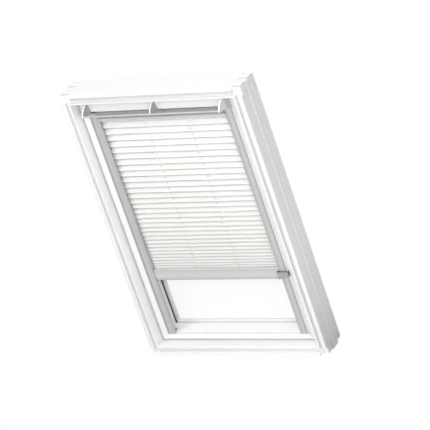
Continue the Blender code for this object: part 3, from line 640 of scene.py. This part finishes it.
def paint(piece, finish):
    piece.data.materials.clear()
    piece.data.materials.append(finish.owner)


def paint_nodes():
    """Each CAD node takes the finish whose name begins its own; the longest name wins."""
    for name, piece in nodes.items():
        start = max((key for key in FINISHES if name.startswith(key)), key=len)
        paint(piece, FINISHES[start])


def finish_piece(piece, name, finish):
    """Settles a modelled piece's place into its mesh, then names and paints it."""
    bpy.ops.object.transform_apply(location=True, rotation=True, scale=True)
    bpy.ops.object.shade_smooth_by_angle()
    piece.select_set(False)
    piece.name = name
    piece.data.name = name
    paint(piece, finish)
    return piece


def apply_modifiers(piece):
    bpy.context.view_layer.objects.active = piece
    piece.select_set(True)
    for modifier in list(piece.modifiers):
        bpy.ops.object.modifier_apply(modifier=modifier.name)
    piece.select_set(False)


# Pleated cloth
def crease_heights(top, low):
    """Heights of the cloth's creases, downwards; the pitch falls from pleat to pleat, faster lower down."""
    shares = [pleat / (PLEATS - 1) for pleat in range(PLEATS)]
    belly = [4 * PITCH_BELLY * share * (1 - share) for share in shares]
    last = 2 * (top - low - sum(belly)) / PLEATS - FIRST_PITCH
    heights = [top]
    for share, extra in zip(shares, belly):
        pitch = FIRST_PITCH + (last - FIRST_PITCH) * share + extra
        heights += [heights[-1] - pitch / 2, heights[-1] - pitch]
    return heights


def travel_shares(heights):
    """How much of the bottom bar's travel each crease makes, from 0 at the top to 1 at the bar."""
    shares = [0.0]
    for pleat in range(PLEATS):
        slack = heights[2 * pleat] - heights[2 * pleat + 2] - CLOSED_PITCH
        shares += [shares[-1] + slack / 2, shares[-1] + slack]
    return [share / shares[-1] for share in shares]


def unsmooth(share):
    """Where along the blend a point has this share of the movement."""
    return 0.5 - math.sin(math.asin(1 - 2 * share) / 3)


def cloth_columns(half):
    """X of the cloth's columns, with narrow ones over the cords' holes."""
    right = [half * step / COLUMNS for step in range(1, COLUMNS + 1)]
    right = [x for x in right if abs(x - CORD_X) > CORD_HOLE]
    right += [CORD_X - CORD_HOLE / 2, CORD_X + CORD_HOLE / 2]
    return sorted([-x for x in right] + [0.0] + right)


def crease_wave(x, pleat):
    """A small unevenness of a pleat's front crease: waves across it, which shift from pleat to pleat."""
    return CREASE_WAVE * sum(part * math.sin(turn * x + shift * pleat) for part, turn, shift in CREASE_TURNS)


def pleat_rows(back, front, upper, middle, lower):
    """(y, z) down one pleat, with a rounded front crease."""
    rows = [(back + (front - back) * share, upper + (middle - upper) * share) for share in PANEL_SHARES]
    rows.append((front + CREASE_NOSE, middle))
    for share in reversed(PANEL_SHARES):
        rows.append((back + (front - back) * share, lower + (middle - lower) * share))
    return rows


def pleat_mesh(name, columns, rows, pleat):
    """The sheet of one pleat, open over the cords."""
    shape = bmesh.new()
    nose = len(PANEL_SHARES)
    grid = []
    for index, (y, z) in enumerate(rows):
        share = 1 - abs(index - nose) / nose
        drops = [crease_wave(x, pleat) * share for x in columns]
        grid.append([shape.verts.new((x, y + drop, z + drop)) for x, drop in zip(columns, drops)])
    for r in range(len(rows) - 1):
        for c in range(len(columns) - 1):
            middle = (columns[c] + columns[c + 1]) / 2
            if r in HOLE_ROWS and abs(abs(middle) - CORD_X) < CORD_HOLE / 2:
                continue
            shape.faces.new((grid[r][c], grid[r + 1][c], grid[r + 1][c + 1], grid[r][c + 1]))
    mesh = bpy.data.meshes.new(name)
    shape.to_mesh(mesh)
    shape.free()
    mesh.shade_smooth()
    return mesh


def blend_ends(along, heights, back, front):
    """Start and end of the blend along which a pleat's three creases lie this far."""
    upper, middle, lower = heights
    rise = (along[2] - along[0]) / (lower - upper)
    depth = (along[1] - along[0] - rise * (middle - upper)) / (front - back)
    slope = Vector((0, depth, rise))
    step = slope / slope.length_squared
    start = Vector((0, back, upper)) - along[0] * step
    return start, start + step


def make_cloth():
    """One sheet for each pleat; two neighbours meet in a back crease."""
    low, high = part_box("pleated_cloth")
    heights = crease_heights(high.z, low.z)
    along = [unsmooth(share) for share in travel_shares(heights)]
    back = high.y - SOLID_THICKNESS / 2
    front = low.y + SOLID_THICKNESS / 2
    columns = cloth_columns(high.x)
    for pleat in range(PLEATS):
        creases = slice(2 * pleat, 2 * pleat + 3)
        upper, middle, lower = heights[creases]
        name = f"cloth_pleat_{pleat + 1:02d}"
        mesh = pleat_mesh(name, columns, pleat_rows(back, front, upper, middle, lower), pleat)
        piece = add(name, mesh)
        paint(piece, CLOTH)
        solid = piece.modifiers.new("thickness", "SOLIDIFY")
        solid.thickness = CLOTH_THICKNESS
        solid.offset = 0
        apply_modifiers(piece)
        start, end = blend_ends(along[creases], heights[creases], back, front)
        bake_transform(piece)
        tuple(start)
        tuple(end)
        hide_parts("pleated_cloth")
        panel = math.hypot(front - back, upper - middle)
        flat = (columns[-1] - columns[0], 2 * panel)


def make_cords():
    """The two cords through the pleats, between the head rail and the bottom bar."""
    for hand in ("left", "right"):
        low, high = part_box(f"lift_cord_{hand}")
        middle = (low + high) / 2
        bpy.ops.mesh.primitive_cylinder_add(
            vertices=CORD_SIDES, radius=CORD_RADIUS, depth=high.z - low.z, location=middle
        )
        piece = finish_piece(bpy.context.object, f"blind_cord_{hand}", BRAID)
        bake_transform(piece)
        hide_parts(f"lift_cord_{hand}")


# Small parts
def screw_head():
    """A low head with a bevelled rim and a cross recess, its axis along Z."""
    bpy.ops.mesh.primitive_cylinder_add(vertices=HEAD_SIDES, radius=HEAD_RADIUS, depth=HEAD_HEIGHT)
    head = bpy.context.object
    for turn in (0, math.pi / 2):
        bpy.ops.object.select_all(action="DESELECT")
        bpy.ops.mesh.primitive_cube_add(size=1, location=(0, 0, HEAD_HEIGHT / 2), rotation=(0, 0, turn))
        cutter = bpy.context.object
        cutter.scale = (RECESS_LENGTH, RECESS_WIDTH, 2 * RECESS_DEPTH)
        cut = head.modifiers.new("recess", "BOOLEAN")
        cut.object = cutter
        cut.solver = "EXACT"
        cutter.select_set(False)
        apply_modifiers(head)
        bpy.data.objects.remove(cutter)
    bevel = head.modifiers.new("rim", "BEVEL")
    bevel.width = HEAD_RIM
    bevel.segments = 2
    bevel.angle_limit = RIM_ANGLE
    apply_modifiers(head)
    return head


def spaced(low, high, margin, count):
    """Places at equal distances between two margins."""
    return [low + margin + (high - low - 2 * margin) * step / (count - 1) for step in range(count)]


def screw_places():
    """(name, place, direction the head faces, body) of every screw."""
    outwards = Vector((0, 1, 0))
    places = []
    for hand in ("left", "right"):
        low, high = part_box(f"sash_cover_{hand}")
        x = (low.x + high.x) / 2
        for count, z in enumerate(spaced(low.z, high.z, SIDE_MARGIN, SIDE_SCREWS)):
            places.append((f"cover_screw_{hand}_{count + 1}", Vector((x, high.y, z)), outwards, "sash"))
    for end in ("top", "bottom"):
        low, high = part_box(f"sash_cover_{end}")
        z = (low.z + high.z) / 2
        for count, x in enumerate(spaced(low.x, high.x, END_MARGIN, END_SCREWS)):
            places.append((f"cover_screw_{end}_{count + 1}", Vector((x, high.y, z)), outwards, "sash"))
    for hand, side in (("left", -1), ("right", 1)):
        for body, toward in (("frame", -side), ("sash", side)):
            low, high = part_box(f"pivot_{body}_plate_{hand}")
            outer = max(abs(low.x), abs(high.x))
            inner = min(abs(low.x), abs(high.x))
            face = outer - PLATE_THICKNESS if body == "frame" else inner + PLATE_THICKNESS
            y = (low.y + high.y) / 2
            for count, z in enumerate((low.z + PLATE_MARGIN, high.z - PLATE_MARGIN)):
                place = Vector((side * face, y, z))
                name = f"plate_screw_{body}_{hand}_{count + 1}"
                places.append((name, place, Vector((toward, 0, 0)), body))
    return places


def make_screws():
    head = screw_head()
    for name, place, facing, body in screw_places():
        piece = head.copy()
        piece.data = head.data.copy()
        bpy.context.scene.collection.objects.link(piece)
        piece.rotation_euler = facing.to_track_quat("Z", "Y").to_euler()
        piece.location = place + facing * (HEAD_HEIGHT / 2 - HEAD_SUNK)
        bpy.context.view_layer.objects.active = piece
        piece.select_set(True)
        finish_piece(piece, name, STEEL)
        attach(piece, body)
    bpy.data.objects.remove(head)


def make_rail_plugs():
    """Dark plugs in the side rails' feet, which stop the runners."""
    for hand, side in (("left", -1), ("right", 1)):
        low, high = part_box(f"side_rail_{hand}")
        x = side * (max(abs(low.x), abs(high.x)) - (PLUG_IN + PLUG_OUT) / 2)
        room = low.y + PLUG_SETBACK
        back = high.y - PLUG_BACK
        place = (x, (room + back) / 2, low.z + PLUG_HEIGHT / 2)
        bpy.ops.mesh.primitive_cube_add(size=1, location=place)
        piece = bpy.context.object
        piece.scale = (PLUG_OUT - PLUG_IN, back - room, PLUG_HEIGHT)
        bpy.ops.object.transform_apply(location=False, rotation=False, scale=True)
        bevel = piece.modifiers.new("edges", "BEVEL")
        bevel.width = PLUG_EDGE
        bevel.segments = 2
        apply_modifiers(piece)
        piece.select_set(True)
        finish_piece(piece, f"rail_plug_{hand}", DARK_PLASTIC)
        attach(piece, "sash")


# Stage
def camera():
    data = bpy.data.cameras.new("camera")
    data.lens = CAMERA_LENS
    data.sensor_width = SENSOR_WIDTH
    data.clip_end = CAMERA_REACH
    made = add("camera", data)
    ahead = CAMERA_AIM - CAMERA_PLACE
    level = ahead.to_track_quat("-Z", "Y").to_matrix().to_4x4()
    made.matrix_world = Matrix.Translation(CAMERA_PLACE) @ level @ Matrix.Rotation(CAMERA_ROLL, 4, "Z")
    bpy.context.scene.camera = made


def world():
    """White behind the object and in its reflections, plain soft light otherwise."""
    made = bpy.data.worlds.new("studio")
    bpy.context.scene.world = made
    sky = Tree(made)
    soft = sky.node("Background", values={"Color": WHITE, "Strength": SKY_STRENGTH})
    white = sky.node("Background", values={"Color": WHITE, "Strength": 1.0})
    seen = sky.node("LightPath", output="Is Camera Ray")
    mirrored = sky.node("LightPath", output="Is Glossy Ray")
    through = sky.node("LightPath", output="Is Transmission Ray")
    mixed = sky.node("MixShader", values={0: seen.most(mirrored).most(through), 1: soft, 2: white})
    sky.feed(sky.nodes["World Output"].inputs["Surface"], mixed)


def floor():
    """A pale floor that is plain white to the camera and gives light back to the object."""
    bpy.ops.mesh.primitive_plane_add(size=FLOOR_SIZE, location=(0, 0, FLOOR_HEIGHT))
    made = bpy.context.object
    made.name = "floor"
    made.select_set(False)
    look = Tree(bpy.data.materials.new("floor"))
    look.nodes.remove(look.nodes["Principled BSDF"])
    dull = look.node("BsdfDiffuse", values={"Color": FLOOR_COLOUR})
    glow = look.node("Emission", values={"Strength": 1.0})
    seen = look.node("LightPath", output="Is Camera Ray")
    mixed = look.node("MixShader", values={0: seen, 1: dull, 2: glow})
    look.feed(look.nodes["Material Output"].inputs["Surface"], mixed)
    made.data.materials.append(look.owner)


def lamps():
    """Square lamps that face the window's middle."""
    for name, place, power in LAMPS:
        data = bpy.data.lights.new(name, "AREA")
        data.shape = "SQUARE"
        data.size = LAMP_SIZE
        data.energy = power
        made = add(name, data)
        made.location = place
        made.rotation_euler = (LAMP_AIM - Vector(place)).to_track_quat("-Z", "Y").to_euler()


camera()
world()
floor()
lamps()
bpy.context.scene.view_settings.view_transform = "Standard"
paint_nodes()
make_cloth()
make_cords()
make_screws()
make_rail_plugs()
